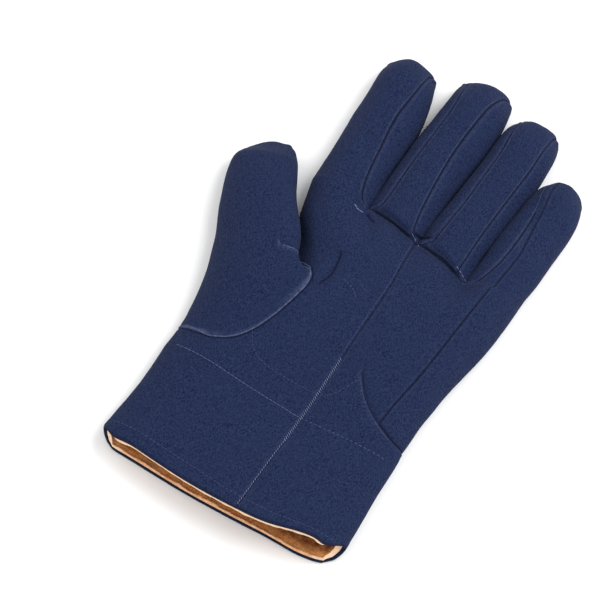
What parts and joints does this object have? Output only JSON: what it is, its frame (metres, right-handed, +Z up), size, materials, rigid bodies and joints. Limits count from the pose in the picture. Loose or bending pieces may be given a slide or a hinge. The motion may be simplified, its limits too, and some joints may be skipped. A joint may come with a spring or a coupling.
{
  "type": "denim work glove",
  "caption": "Left-hand work glove of navy denim with a tan fleece cuff lining, lying palm up, hollow and open at the cuff.",
  "frame": {"origin": "on the resting face, under the middle of the palm", "axes": "+Y from the cuff to the fingertips, +X from the thumb side to the little finger side, +Z up out of the palm"},
  "size_m": [0.1688, 0.2724, 0.029],
  "materials": {
    "denim": "dark navy cotton twill, matt",
    "lining": "tan brushed fleece, matt"
  },
  "bodies": {
    "root": {"palm_index_side": "denim", "palm_little_side": "denim", "middle_finger_front": "denim", "ring_finger_front": "denim", "back": "denim", "fourchette_index_middle": "denim", "fourchette_middle_ring": "denim", "fourchette_ring_little": "denim", "thumb": "denim", "cuff_lining": "lining"}
  },
  "joints": []
}
